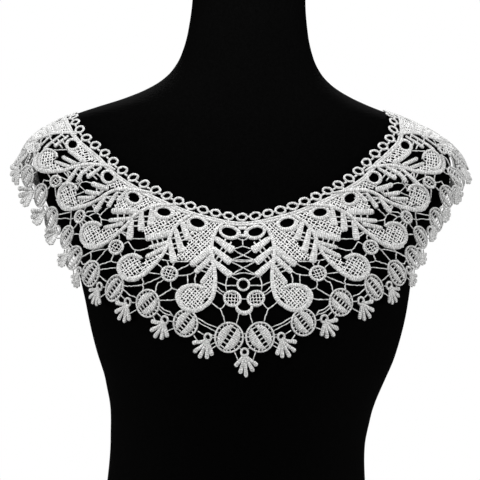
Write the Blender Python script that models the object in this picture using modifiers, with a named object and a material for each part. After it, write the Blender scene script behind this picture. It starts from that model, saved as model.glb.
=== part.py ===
"""Lace collar on a limbless dress form.

A ring of guipure lace, embroidered in one piece, lies round the shoulders of a
smooth dress form that stands on its own flat base.  The wearer's front faces -Y,
+Z is up and the origin is the middle of the base.

The collar is drawn on a chart: "along" runs round the neck edge, counted in the
small loops that border it (0 is centre front, +HALF_LOOPS and -HALF_LOOPS are
centre back), and "out" runs from that edge to the tips of the fans, in mm.
"""
import math

import bmesh
import bpy
import numpy as np
from mathutils import Vector
from mathutils.geometry import delaunay_2d_cdt

MM = 0.001
NAME = "lace_collar_on_dress_form"

# ---------------------------------------------------------------- dress form
# One row for each level section: its height, half width, depth to the front and
# to the back, and how far the lace stands off the side there, all in mm.
FORM_ROWS = (
    # height, side, front, back, flare
    (0, 144, 100, 93, 0),
    (35, 136, 96, 88, 0),
    (70, 129, 93, 83, 0),
    (105, 127, 95, 80, 0),
    (140, 130, 102, 81, 0),
    (170, 138, 110, 84, 0),
    (200, 149, 116, 88, 2),
    (230, 157, 116, 93, 6),
    (260, 163, 110, 97, 16),
    (290, 169, 101, 100, 25),
    (320, 184, 92, 101, 23),
    (350, 198, 86, 100, 22),
    (376, 206, 82, 98, 23),
    (394, 207, 78, 95, 14),
    (409, 201, 74.5, 92, 10),
    (422, 189, 71.5, 89, 4),
    (433, 171, 69, 86, 0),
    (441, 150, 67, 84, 0),
    (450, 124, 65, 81, 0),
    (460, 101, 63, 78, 0),
    (470, 85, 61, 75, 0),
    (480, 75, 59, 72, 0),
    (495, 66.6, 57, 68, 0),
    (520, 60, 55, 64, 0),
    (553, 56.5, 53, 60, 0),
    (583, 56, 53, 58, 0),
)
# The chest leans to the wearer's left, only at its sides: one row for each height.
LEAN_ROWS = (
    # height, mm to the left
    (0, 1), (90, 1), (112, 1.2), (136, 3), (160, 4.5), (178, 6), (200, 6.5), (240, 6.2),
    (270, 4.5), (330, 0), (583, 0),
)
LEAN_POWER = 8              # of the sine of the angle, which keeps the lean to the sides
FORM_SIDES = 44             # corners of a section

# -------------------------------------------------------------------- collar
WALL = 1.2                  # thickness of the lace, mm
STAND_OFF = 1.5             # from the form to the middle of the wall, mm
HALF_LOOPS = 38             # loops from centre front to centre back
SEAM_GAP = 0.3              # between the two nodes, mm
TILT = 5.6                  # the collar lies this much higher at its own left side, mm
TWIST = 0.0002              # and is turned this far round the form, radians for each mm
TWIST_FROM = 235            # of height above this one
STEP = 0.01                 # radians to each side where the surface's direction is taken
RIBS_A_LOOP = 4             # ribs of the chart's tables for each loop
RIB_STEPS = 60              # steps along each rib

# Height of the neck edge and of the fans' tips at each angle round the form.
NECK_ROWS = (
    # angle, height
    (0, 334), (10, 341), (19.5, 354.5), (27.5, 371), (37, 395.5), (45, 409.5), (57, 425),
    (70, 433.5), (90, 437.5), (110, 433), (130, 417), (150, 391), (165, 370), (180, 362),
)
TIP_ROWS = (
    # angle, height
    (0, 184), (15.5, 202), (31, 219), (45, 234.5), (56, 250), (63.5, 267), (68.5, 287),
    (73, 310), (78, 334), (84, 356), (90, 369), (100, 371), (110, 357), (120, 332),
    (132, 302), (148, 276), (164, 262), (180, 257),
)
# How far the tips' edge has run, in mm, where the neck edge has run so many loops.
SPREAD_ROWS = (
    # loops, tips' edge
    (0, 0), (1.75, 46), (3.5, 98), (5.3, 147), (7.1, 186), (8.8, 213), (10.6, 238),
    (12.4, 264), (14.2, 291), (16, 319), (17.8, 345), (19.8, 372),
)

# Where the front node ends and the back one starts, over each shoulder.
SEAM_ROWS = (
    # along (loops), out (mm)
    (18.5, -0.6), (18.5, 8), (18.65, 19), (18.8, 31), (18.8, 43), (18.78, 55),
    (18.41, 61), (18.41, 68), (18.6, 73), (18.8, 74),
)

# The motifs of one half, from centre front to the last that the table names; past
# that they go on at REPEAT.  Along in loops, out in mm.
UNIT_ROWS = (
    # eyelet along, out, drop along, out, ring along, out
    (0.9, 15, None, None, 0.6, 81),
    (3.0, 13.5, 2.3, 84, 3.4, 69),
    (5.2, 16, 5.0, 77, 6.3, 70),
    (7.5, 16.5, 7.95, 73, 9.6, 62),
    (10.2, 15.5, 11.3, 58, 12.7, 56),
    (13.9, 17, 14.2, 52, 15.75, 55),
)
OVAL_ROWS = (
    # along (loops), out as a share of the collar's depth
    (0.65, 0.765), (2.43, 0.775), (3.9, 0.77), (5.5, 0.78), (6.95, 0.79), (8.65, 0.77),
    (9.95, 0.72), (11.8, 0.70), (13.3, 0.67), (14.8, 0.67),
)
REPEAT = 3.45               # loops from one hidden unit to the next
OVALS_A_UNIT = 2
FAN_OUT = 0.83              # the fans' ring eyelets, at most so far out
FAN_BELOW = 9               # and no more than this below the ovals' row, mm

LOOP = dict(wide=10.2, tall=8.8, hole_wide=5.6, hole_tall=4.8, points=6)
EYELET = dict(wide=0.74, tall=7.6, points=8)            # wide in loops, tall in mm
OVAL = dict(wide=0.95, tall=27)
FAN = dict(valley=9, root=3.2, tip=1.3, lean=20)    # mm; leans from centre front, degrees
FINGER_ROWS = (
    # turn (degrees), length as a share of the longest
    (-44, 0.74), (-22, 0.92), (0, 1.0), (22, 0.88), (43, 0.74),
)
FAN_ROOM = 34               # mm of edge for each loop that lets a fan spread out wholly
BAND = 8                    # the neck band's outer side, mm from the neck edge

# Open cells of the ground in one unit: where between this drop and the next, and
# where between the neck band (-1), the drops' row (0) and the ovals' row (1).
CELL_ROWS = (
    # between, out, wide (loops), tall (mm), turn (degrees)
    (0.34, 0.62, 0.56, 15, 18),
    (0.52, 0.36, 0.50, 10, 0),
    (0.80, 0.72, 0.54, 12, -20),
    (0.69, 0.27, 0.36, 11, -22),
    (0.27, -0.12, 0.34, 12, 6),
    (0.17, -0.40, 0.62, 9, 0),
    (0.46, -0.30, 0.56, 9, 0),
    (0.62, -0.10, 0.34, 9, -12),
)
# Open cells by the centre front, right half, and on the centre lines.
CENTRE_ROWS = (
    # along (loops), out (mm), wide (loops), tall (mm), turn (degrees)
    (0.0, 17, 0.50, 8, 0),
    (0.0, 33, 0.70, 9, 0),
    (0.0, 47, 0.90, 7, 0),
    (0.0, 67, 0.62, 9, 0),
    (0.0, 83, 0.44, 9, 0),
    (0.85, 33, 0.40, 7, 0),
    (0.75, 60, 0.46, 8, 0),
    (1.15, 71, 0.34, 12, 8),
    (1.22, 92, 0.46, 20, 0),
    (0.42, 97, 0.50, 9, 0),
    (1.72, 104, 0.44, 12, 0),
    (38, 66, 0.60, 13, 0),
    (38, 32, 0.60, 12, 0),
)
CELL_POINTS = 7
TAIL = dict(along=0.75, out=22)     # from the middle of a drop to that of its tail
WEB = 0.08                  # least ground between a gap and a seam, loops
LOOP_WIDTH = 16             # width given to a loop where the sheet is cut into triangles


# ------------------------------------------------------------------- numbers
def smooth(at, rows, column=1):
    """A cubic through (first column, this column) of rows that never overshoots."""
    x = np.array([row[0] for row in rows], float)
    y = np.array([row[column] for row in rows], float)
    step, rise = np.diff(x), np.diff(y) / np.diff(x)
    slope = np.zeros(len(x))
    same = rise[:-1] * rise[1:] > 0
    ahead, behind = 2 * step[1:] + step[:-1], step[1:] + 2 * step[:-1]
    safe = np.where(same, rise[:-1] * rise[1:], 1.0)
    mean = (ahead + behind) * safe / (ahead * rise[1:] + behind * rise[:-1] + (~same))
    slope[1:-1] = np.where(same, mean, 0.0)
    i = np.clip(np.searchsorted(x, at) - 1, 0, len(step) - 1)
    t = (np.clip(at, x[0], x[-1]) - x[i]) / step[i]
    return ((1 + 2 * t) * (1 - t) ** 2 * y[i] + t * (1 - t) ** 2 * step[i] * slope[i]
            + t * t * (3 - 2 * t) * y[i + 1] + t * t * (t - 1) * step[i] * slope[i + 1])


def running_length(points):
    """Distance run along a row of points, starting at 0."""
    return np.r_[0.0, np.cumsum(np.linalg.norm(np.diff(points, axis=0), axis=1))]


def on_section(angle, height, flare=0):
    """The point of the form's section at this height, or with flare of the lace's."""
    side = smooth(height, FORM_ROWS, 1) + flare * smooth(height, FORM_ROWS, 4)
    front, back = smooth(height, FORM_ROWS, 2), smooth(height, FORM_ROWS, 3)
    depth = np.where(np.cos(angle) > 0, front, back)
    return np.stack([side * np.sin(angle), -depth * np.cos(angle), height], -1)


# --------------------------------------------------------------------- chart
class Chart:
    """Carries a place on the collar, along and out, to a point in space."""

    def __init__(self):
        angle = np.linspace(0, 180, 721)
        neck = smooth(angle, NECK_ROWS)
        tips = smooth(angle, TIP_ROWS)
        neck_run = running_length(self.sheet(np.radians(angle), neck))
        tips_run = running_length(self.sheet(np.radians(angle), tips))
        self.loop = neck_run[-1] / HALF_LOOPS          # mm of neck edge for each loop
        self.along = np.linspace(0, HALF_LOOPS, RIBS_A_LOOP * HALF_LOOPS + 1)
        spread = self.past_both_ends(SPREAD_ROWS, (HALF_LOOPS, tips_run[-1]))
        self.edge_run = smooth(self.along, spread)
        neck_angle = np.interp(self.along * self.loop, neck_run, angle)
        tips_angle = np.interp(self.edge_run, tips_run, angle)
        neck_high = np.interp(neck_angle, angle, neck)
        tips_high = np.interp(tips_angle, angle, tips)
        share = np.linspace(0, 1, RIB_STEPS + 1)
        ribs = neck_angle[:, None] + (tips_angle - neck_angle)[:, None] * share
        highs = neck_high[:, None] + (tips_high - neck_high)[:, None] * share
        runs = [running_length(rib) for rib in self.sheet(np.radians(ribs), highs)]
        self.depth_at = np.array([run[-1] for run in runs])
        self.share = share
        self.angle = np.array([np.interp(share * run[-1], run, rib)
                               for run, rib in zip(runs, ribs)])
        self.high = np.array([np.interp(share * run[-1], run, high)
                              for run, high in zip(runs, highs)])

    @staticmethod
    def past_both_ends(rows, end):
        """Rows from the origin to their end, with the nearest of each mirrored past it."""
        before = (-rows[1][0], -rows[1][1])
        after = (2 * end[0] - rows[-1][0], 2 * end[1] - rows[-1][1])
        return (before,) + rows + (end, after)

    @staticmethod
    def sheet(angle, height):
        """Where the lace hangs: off the form's section at this angle and height, squarely."""
        across = on_section(angle + STEP, height, 1) - on_section(angle - STEP, height, 1)
        upward = on_section(angle, height + 1, 1) - on_section(angle, height - 1, 1)
        square = np.cross(across, upward)
        square /= np.linalg.norm(square, axis=-1, keepdims=True)
        return on_section(angle, height, 1) + STAND_OFF * square

    def depth(self, along):
        """The collar's depth from the neck edge to the tips, in mm."""
        return np.interp(self.fold(along), self.along, self.depth_at)

    def edge_loop(self, along):
        """The mm of tips' edge for each loop of neck edge."""
        return np.interp(self.fold(along), self.along, np.gradient(self.edge_run, self.along))

    @staticmethod
    def fold(along):
        """Distance from centre front, the same on both sides and all round."""
        return np.abs((np.asarray(along, float) + HALF_LOOPS) % (2 * HALF_LOOPS) - HALF_LOOPS)

    def read(self, table, along, share):
        """Bilinear reading of a table of ribs, running on past its last column."""
        i = np.clip((self.fold(along) * RIBS_A_LOOP).astype(int), 0, len(self.along) - 2)
        j = np.clip((share * RIB_STEPS).astype(int), 0, RIB_STEPS - 1)
        u, v = self.fold(along) * RIBS_A_LOOP - i, share * RIB_STEPS - j
        return ((1 - u) * (1 - v) * table[i, j] + u * (1 - v) * table[i + 1, j]
                + (1 - u) * v * table[i, j + 1] + u * v * table[i + 1, j + 1])

    def point(self, along, out):
        """The point of the lace's middle surface, in mm."""
        along, out = np.asarray(along, float), np.asarray(out, float)
        share = out / self.depth(along)
        right = (along + HALF_LOOPS) % (2 * HALF_LOOPS) >= HALF_LOOPS
        angle = np.radians(self.read(self.angle, along, share)) * np.where(right, 1, -1)
        height = self.read(self.high, along, share)
        return self.sheet(angle - TWIST * (height - TWIST_FROM), height + TILT * np.sin(angle))


# -------------------------------------------------------------------- motifs
def half_units():
    """The units of one half, centre front to centre back, and the first past it."""
    rows = [dict(zip(("eyelet", "eyelet_out", "drop", "drop_out", "ring", "ring_out"), row))
            for row in UNIT_ROWS]
    while rows[-1]["drop"] is None or rows[-1]["drop"] < HALF_LOOPS:
        last = rows[-1]
        rows.append(dict(last, eyelet=last["eyelet"] + REPEAT, drop=last["drop"] + REPEAT,
                         ring=last["ring"] + REPEAT))
    return rows


def half_ovals():
    """Where the ovals of one half lie along the edge."""
    ovals = [row[0] for row in OVAL_ROWS]
    step = REPEAT / OVALS_A_UNIT
    while ovals[-1] + step < HALF_LOOPS:
        ovals.append(ovals[-1] + step)
    return ovals


def ovals_out(chart, along):
    """How far out the ovals' row lies at this place along the collar."""
    share = np.interp(chart.fold(along), [row[0] for row in OVAL_ROWS],
                      [row[1] for row in OVAL_ROWS])
    return float(share * chart.depth(along))


def fans_out(chart, along):
    """How far out the fans' ring eyelets lie."""
    return min(FAN_OUT * float(chart.depth(along)), ovals_out(chart, along) + FAN_BELOW)


def oval_points(along, out, wide, tall, count, turn=0.0):
    """A closed oval on the chart: wide in loops, tall in mm, turned clockwise."""
    angle = np.arange(count) * 2 * math.pi / count + math.pi / count
    x, y = wide / 2 * np.cos(angle), tall / 2 * np.sin(angle)
    lean = math.radians(turn)
    spin = wide / tall
    return np.stack([along + x * math.cos(lean) - y * spin * math.sin(lean),
                     out + x / spin * math.sin(lean) + y * math.cos(lean)], -1)


def mirrored(outline):
    """The same outline on the other half."""
    return outline[::-1] * (-1, 1)


def all_holes(chart):
    """Every gap over 4 mm, as closed outlines on the chart."""
    half, middle = [], []
    units = half_units()
    for unit in units:
        along = min(unit["eyelet"], HALF_LOOPS)
        (middle if along == HALF_LOOPS else half).append(oval_points(
            along, unit["eyelet_out"], EYELET["wide"], EYELET["tall"], EYELET["points"]))
    for unit, after in zip(units[1:-1], units[2:]):
        for between, out, wide, tall, turn in CELL_ROWS:
            along = unit["drop"] + between * (after["drop"] - unit["drop"])
            row = unit["drop_out"] + between * (after["drop_out"] - unit["drop_out"])
            room = ovals_out(chart, along) - row if out > 0 else row - BAND
            place = row + out * room
            if along + wide / 2 < HALF_LOOPS - WEB:
                half.append(oval_points(along, place, wide, tall, CELL_POINTS, turn))
    for along, out, wide, tall, turn in CENTRE_ROWS:
        cell = oval_points(along, out, wide, tall, CELL_POINTS, turn)
        (middle if along in (0, HALF_LOOPS) else half).append(cell)
    loops = []
    for number in range(-HALF_LOOPS, HALF_LOOPS):
        loops.append(oval_points(number, 0, LOOP["hole_wide"] / chart.loop,
                                 LOOP["hole_tall"], LOOP["points"]))
    return half + [mirrored(cell) for cell in half] + middle + loops


def edge_motifs():
    """Every oval and fan of the outer edge, all round, by place along it."""
    ovals = half_ovals()
    fans = [(a + b) / 2 for a, b in zip(ovals, ovals[1:])]
    half = [(oval, oval_outline) for oval in ovals] + [(fan, fan_outline) for fan in fans]
    other = [(2 * HALF_LOOPS - along, outline) for along, outline in half]
    return sorted(half + other + [(0.0, fan_outline), (float(HALF_LOOPS), fan_outline)],
                  key=lambda motif: motif[0])


def neck_outline(chart, start, end):
    """The row of loops along the neck edge, from start to end."""
    points = []
    for number in range(math.ceil(start), math.floor(end) + 1):
        for angle in (-150, -90, -30):
            points.append((number + LOOP["wide"] / 2 / chart.loop * math.cos(math.radians(angle)),
                           LOOP["tall"] / 2 * math.sin(math.radians(angle))))
        points.append((number + 0.5, SEAM_ROWS[0][1]))
    return points[:-1]


def fan_outline(chart, along):
    """The fingers of a fan, below its ring eyelet."""
    centre = fans_out(chart, along)
    reach = float(chart.depth(along)) - centre
    side = 0 if along % HALF_LOOPS == 0 else 1 if along % (2 * HALF_LOOPS) < HALF_LOOPS else -1
    wide = chart.edge_loop(along)
    room = min(1, wide / FAN_ROOM)
    points = [(-FAN["root"], 1.0)]
    for number, (turn, share) in enumerate(FINGER_ROWS):
        turn = math.radians(turn + side * FAN["lean"]) * room
        if number:
            valley = (turn + before) / 2
            points.append((FAN["valley"] * math.sin(valley), FAN["valley"] * math.cos(valley)))
        for edge in (-1, 1):
            bend = turn + edge * FAN["tip"] / reach
            points.append((reach * share * math.sin(bend), reach * share * math.cos(bend)))
        before = turn
    points.append((FAN["root"], 1.0))
    return [(along + x / wide, centre + y) for x, y in points]


def oval_outline(chart, along):
    """The outer side of an oval, below the ground."""
    centre = ovals_out(chart, along)
    return [(along + OVAL["wide"] / 2 * math.cos(math.radians(angle)),
             centre + OVAL["tall"] / 2 * math.sin(math.radians(angle)))
            for angle in (170, 130, 90, 50, 10)]


def edge_outline(chart, start, end):
    """Ovals and fans by turns along the outer edge, from start to end."""
    points = []
    for turn in (-1, 0):
        for along, outline in edge_motifs():
            along += 2 * HALF_LOOPS * turn
            if start < along < end:
                points += outline(chart, along)
    return points


def inner_points(chart):
    """Points in the middle of what stays solid, so that it follows the form."""
    half = [(oval, ovals_out(chart, oval)) for oval in half_ovals()]
    for unit in half_units()[1:-1]:
        half += [(unit["drop"], unit["drop_out"]), (unit["ring"], unit["ring_out"]),
                 (unit["drop"] - TAIL["along"], unit["drop_out"] - TAIL["out"])]
    return half + [(2 * HALF_LOOPS - along, out) for along, out in half]


# --------------------------------------------------------------------- solids
def seam(chart, along, side):
    """The end of a node over one shoulder, neck edge first, on the given side of it."""
    offset = side * SEAM_GAP / 2 / chart.loop
    flip = 1 if along > 0 else -1
    if abs(along) > HALF_LOOPS:
        along, flip = abs(along), -1
    return [(along + flip * (row[0] - SEAM_ROWS[0][0]) + offset, row[1]) for row in SEAM_ROWS]


def within(outline, near, far):
    """Whether an outline lies between two seams, seen at its own distance out."""
    for along, out in outline:
        left = np.interp(out, [row[1] for row in near], [row[0] for row in near])
        right = np.interp(out, [row[1] for row in far], [row[0] for row in far])
        if not left + WEB < along < right - WEB:
            return False
    return True


def inside(points, outline):
    """Which of these points lie inside a closed outline."""
    crossings = np.zeros(len(points), int)
    for (x0, y0), (x1, y1) in zip(outline, np.roll(outline, -1, axis=0)):
        spans = (points[:, 1] > y0) != (points[:, 1] > y1)
        rise = (points[:, 1] - y0) / (y1 - y0 if y1 != y0 else 1.0)
        crossings += spans & (points[:, 0] < x0 + (x1 - x0) * rise)
    return crossings % 2 == 1


def lace_mesh(chart, start, end):
    """The middle surface of the lace from seam to seam, with its gaps left open."""
    near, far = seam(chart, start, 1), seam(chart, end, -1)
    outline = near[:1] + neck_outline(chart, start, end) + far
    outline += edge_outline(chart, near[-1][0], far[-1][0])[::-1] + near[:0:-1]
    whole_turn = np.array((2 * HALF_LOOPS, 0))
    holes = [hole + whole_turn * turn for hole in all_holes(chart) for turn in (0, 1)]
    rings = [outline] + [hole for hole in holes if within(hole, near, far)]
    loose = [(along + 2 * HALF_LOOPS * turn, out) for along, out in inner_points(chart)
             for turn in (-1, 0)]
    loose = [point for point in loose if within([point], near, far)]
    flat, edges = [], []
    for ring in rings:
        first = len(flat)
        flat += [Vector((along * LOOP_WIDTH, out)) for along, out in ring]
        edges += [(first + i, first + (i + 1) % len(ring)) for i in range(len(ring))]
    flat += [Vector((along * LOOP_WIDTH, out)) for along, out in loose]
    corners, _, faces = delaunay_2d_cdt(flat, edges, [], 0, 1e-5)[:3]
    middles = np.array([np.mean([corners[i] for i in face], axis=0) for face in faces])
    middles /= (LOOP_WIDTH, 1)
    solid = inside(middles, rings[0]) & ~np.any([inside(middles, hole) for hole in rings[1:]], 0)
    faces = [tuple(face)[::-1] for face, kept in zip(faces, solid) if kept]
    placed = chart.point([corner.x / LOOP_WIDTH for corner in corners],
                         [corner.y for corner in corners]) * MM
    mesh = bpy.data.meshes.new("lace")
    mesh.from_pydata([tuple(point) for point in placed], [], faces)
    return mesh


def form_mesh():
    """The dress form: level sections, a flat base and a flat cap on the neck."""
    heights = np.array([row[0] for row in FORM_ROWS], float)
    angle = np.arange(FORM_SIDES) * 2 * math.pi / FORM_SIDES
    at_sides = np.sin(angle)[:, None] ** LEAN_POWER * (1, 0, 0)
    rings = [(on_section(angle, np.full(FORM_SIDES, height))
              + smooth(height, LEAN_ROWS) * at_sides) * MM for height in heights]
    body = bmesh.new()
    corners = [[body.verts.new(point) for point in ring] for ring in rings]
    for low, high in zip(corners, corners[1:]):
        for i in range(FORM_SIDES):
            j = (i + 1) % FORM_SIDES
            body.faces.new((low[i], low[j], high[j], high[i]))
    body.faces.new(corners[0][::-1])
    body.faces.new(corners[-1])
    bmesh.ops.recalc_face_normals(body, faces=body.faces)
    mesh = bpy.data.meshes.new("form")
    body.to_mesh(mesh)
    body.free()
    return mesh


def material(name, colour, roughness):
    """A plain finish with one colour and roughness."""
    finish = bpy.data.materials.new(name)
    finish.use_nodes = True
    shader = finish.node_tree.nodes["Principled BSDF"]
    shader.inputs["Base Color"].default_value = colour
    shader.inputs["Roughness"].default_value = roughness
    return finish


def add_object(name, mesh, finish, parts):
    """A named object of the part, in its collection."""
    piece = bpy.data.objects.new(name, mesh)
    piece.data.materials.append(finish)
    piece.data.shade_smooth()
    piece.data.set_sharp_from_angle(angle=math.radians(50))
    parts.objects.link(piece)
    return piece


def main():
    for old in list(bpy.data.objects):
        bpy.data.objects.remove(old)
    parts = bpy.data.collections.new(NAME)
    bpy.context.scene.collection.children.link(parts)

    black = material("black_form", (0.01, 0.01, 0.01, 1), 0.6)
    add_object("dress_form", form_mesh(), black, parts)

    chart = Chart()
    white = material("white_guipure", (0.85, 0.85, 0.83, 1), 0.8)
    shoulder = SEAM_ROWS[0][0]
    ends = {"lace_front": (-shoulder, shoulder),
            "lace_back": (shoulder, 2 * HALF_LOOPS - shoulder)}
    for name, (start, end) in ends.items():
        lace = add_object(name, lace_mesh(chart, start, end), white, parts)
        wall = lace.modifiers.new("wall", "SOLIDIFY")
        wall.thickness = WALL * MM
        wall.offset = 0


main()
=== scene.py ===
import math

import bpy
import numpy as np
from mathutils import Matrix


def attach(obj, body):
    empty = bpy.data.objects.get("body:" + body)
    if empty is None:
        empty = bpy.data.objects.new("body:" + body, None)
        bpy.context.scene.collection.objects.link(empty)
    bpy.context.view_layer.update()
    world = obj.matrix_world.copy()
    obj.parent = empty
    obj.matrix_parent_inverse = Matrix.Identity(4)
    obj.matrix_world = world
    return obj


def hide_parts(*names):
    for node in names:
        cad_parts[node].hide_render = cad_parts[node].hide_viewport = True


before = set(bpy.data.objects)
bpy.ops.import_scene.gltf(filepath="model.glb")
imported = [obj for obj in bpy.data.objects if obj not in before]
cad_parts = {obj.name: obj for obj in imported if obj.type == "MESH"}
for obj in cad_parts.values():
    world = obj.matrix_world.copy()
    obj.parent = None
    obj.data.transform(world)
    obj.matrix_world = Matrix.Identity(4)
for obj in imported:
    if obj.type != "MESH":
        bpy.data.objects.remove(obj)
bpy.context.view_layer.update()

mm = 0.001

# Guipure lace collar on a black dress form, front towards -Y, up is +Z.
# All shaping below is in millimetres; meshes are turned to metres when they are made.

# The dress form: level sections from its base to the cap of its neck.
form = dict(
    # height, half width, depth to the front, to the back, how far lace stands off the side
    rows=[(0, 144, 100, 93, 0), (35, 136, 96, 88, 0), (70, 129, 93, 83, 0),
          (105, 127, 95, 80, 0), (140, 130, 102, 81, 0), (170, 138, 110, 84, 0),
          (200, 149, 116, 88, 2), (230, 157, 116, 93, 6), (260, 163, 110, 97, 16),
          (290, 169, 101, 100, 25), (320, 184, 92, 101, 23), (350, 198, 86, 100, 22),
          (376, 206, 82, 98, 23), (394, 207, 78, 95, 14), (409, 201, 74.5, 92, 10),
          (422, 189, 71.5, 89, 4), (433, 171, 69, 86, 0), (441, 150, 67, 84, 0),
          (450, 124, 65, 81, 0), (460, 101, 63, 78, 0), (470, 85, 61, 75, 0),
          (480, 75, 59, 72, 0), (495, 66.6, 57, 68, 0), (520, 60, 55, 64, 0),
          (553, 56.5, 53, 60, 0), (583, 56, 53, 58, 0)],
    # height, mm the sides lean to the wearer's left
    lean=[(0, 1), (90, 1), (112, 1.2), (136, 3), (160, 4.5), (178, 6), (200, 6.5), (240, 6.2),
          (270, 4.5), (330, 0), (583, 0)],
    leanPower=8,            # of the sine of the angle, which keeps the lean to the sides
    levels=260,             # rings from base to cap
    around=176,             # points round each ring
    capShares=(0.985, 0.6, 0.2),        # rings that close the base and the cap
    paint=("010101", "040404"),         # darkest and lightest of the paint
    peel=2.5, peelDepth=0.2,            # mm, width and height of the paint's orange peel
)

# How the collar lies.  Angles are degrees round the form from centre front, heights mm.
collar = dict(
    standOff=1.5,           # from the form to the middle of the lace
    halfLoops=38,           # edge loops from centre front to centre back
    tilt=5.6,               # higher at the wearer's left side by this much
    twist=0.0002,           # turned round the form, radians per mm above twistFrom
    twistFrom=235,
    # angle, height of the neck edge, and of the fans' tips
    neck=[(0, 334), (10, 341), (19.5, 354.5), (27.5, 371), (37, 395.5), (45, 409.5),
          (57, 425), (70, 433.5), (90, 437.5), (110, 433), (130, 417), (150, 391),
          (165, 370), (180, 362)],
    tips=[(0, 184), (15.5, 202), (31, 219), (45, 234.5), (56, 250), (63.5, 267),
          (68.5, 287), (73, 310), (78, 334), (84, 356), (90, 369), (100, 371),
          (110, 357), (120, 332), (132, 302), (148, 276), (164, 262), (180, 257)],
    # loops along the neck edge, mm run along the tips
    spread=[(0, 0), (1.75, 46), (3.5, 98), (5.3, 147), (7.1, 186), (8.8, 213),
            (10.6, 238), (12.4, 264), (14.2, 291), (16, 319), (17.8, 345),
            (19.8, 372)],
    seam=18.72,             # loops from centre front to the parting over a shoulder
    ribsPerLoop=4, stepsOut=60,         # fineness of the chart, along and out
    # each half unrolled on a table: width and length in m, area in square metres
    flatFront=(0.54, 0.30, 0.075),
    flatBack=(0.54, 0.14, 0.056),
)


def evenCurve(at, rows, column=1):
    # a cubic through the rows that never overshoots (harmonic mean of the two slopes)
    x = np.array([row[0] for row in rows], float)
    y = np.array([row[column] for row in rows], float)
    step, rise = np.diff(x), np.diff(y) / np.diff(x)
    slope = np.zeros(len(x))
    same = rise[:-1] * rise[1:] > 0
    ahead, behind = 2 * step[1:] + step[:-1], step[1:] + 2 * step[:-1]
    safe = np.where(same, rise[:-1] * rise[1:], 1.0)
    mean = (ahead + behind) * safe / (ahead * rise[1:] + behind * rise[:-1] + (~same))
    slope[1:-1] = np.where(same, mean, 0.0)
    i = np.clip(np.searchsorted(x, at) - 1, 0, len(step) - 1)
    t = (np.clip(at, x[0], x[-1]) - x[i]) / step[i]
    return ((1 + 2 * t) * (1 - t) ** 2 * y[i] + t * (1 - t) ** 2 * step[i] * slope[i]
            + t * t * (3 - 2 * t) * y[i + 1] + t * t * (t - 1) * step[i] * slope[i + 1])


def lengthAlong(points):
    # how far each point of a line lies from its start, measured along it
    return np.r_[0.0, np.cumsum(np.linalg.norm(np.diff(points, axis=0), axis=1))]


def ramp(value, start, full):
    # 0 before start, 1 past full and even between them; full may be the lower of the two
    return min(1.0, max(0.0, (value - start) / (full - start)))


def formPoint(angle, height, flare=0.0):
    # half an ellipse to the front and half to the back, side + flare wide at this height
    side = evenCurve(height, form["rows"], 1) + flare * evenCurve(height, form["rows"], 4)
    front, back = evenCurve(height, form["rows"], 2), evenCurve(height, form["rows"], 3)
    depth = np.where(np.cos(angle) > 0, front, back)
    return np.stack([side * np.sin(angle), -depth * np.cos(angle), height], -1)


def laceSheet(angle, height):
    # the flared form's surface and its outward direction, from two short differences
    across = formPoint(angle + 0.01, height, 1) - formPoint(angle - 0.01, height, 1)
    upward = formPoint(angle, height + 1, 1) - formPoint(angle, height - 1, 1)
    square = np.cross(across, upward)
    square /= np.linalg.norm(square, axis=-1, keepdims=True)
    return formPoint(angle, height, 1), square


def makeChart():
    # ribs from the neck edge to the tips, spaced by real length along both edges, each
    # read again at even lengths of its own
    half = collar["halfLoops"]
    angle = np.linspace(0, 180, 721)
    neck, tips = evenCurve(angle, collar["neck"]), evenCurve(angle, collar["tips"])

    def laid(degrees, high):
        surface, square = laceSheet(np.radians(degrees), high)
        return surface + collar["standOff"] * square

    neckRun, tipsRun = lengthAlong(laid(angle, neck)), lengthAlong(laid(angle, tips))
    along = np.linspace(0, half, collar["ribsPerLoop"] * half + 1)
    # the run along the tips goes on past both ends, so that it leaves them evenly
    rows = collar["spread"]
    second, last, end = rows[1], rows[-1], (half, tipsRun[-1])
    rows = ([(-second[0], -second[1])] + rows
            + [end, (2 * end[0] - last[0], 2 * end[1] - last[1])])
    neckAngle = np.interp(along * neckRun[-1] / half, neckRun, angle)
    tipsAngle = np.interp(evenCurve(along, rows), tipsRun, angle)
    neckHigh, tipsHigh = np.interp(neckAngle, angle, neck), np.interp(tipsAngle, angle, tips)
    share = np.linspace(0, 1, collar["stepsOut"] + 1)
    ribs = neckAngle[:, None] + (tipsAngle - neckAngle)[:, None] * share
    highs = neckHigh[:, None] + (tipsHigh - neckHigh)[:, None] * share
    runs = [lengthAlong(rib) for rib in laid(ribs, highs)]
    evens = [share * run[-1] for run in runs]
    return dict(
        loop=neckRun[-1] / half,
        along=along,
        depth=np.array([run[-1] for run in runs]),
        angle=np.array([np.interp(*row) for row in zip(evens, runs, ribs)]),
        high=np.array([np.interp(*row) for row in zip(evens, runs, highs)]))


chart = makeChart()
print("chart of the collar: a loop is %.2f mm, depth at the front %.0f mm"
      % (chart["loop"], chart["depth"][0]))


def foldAlong(along):
    # distance from centre front in loops, whichever way round
    half = collar["halfLoops"]
    return np.abs((np.asarray(along, float) + half) % (2 * half) - half)


def depthAt(along):
    # mm from the neck edge to the tips of the fans
    return np.interp(foldAlong(along), chart["along"], chart["depth"])


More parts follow.
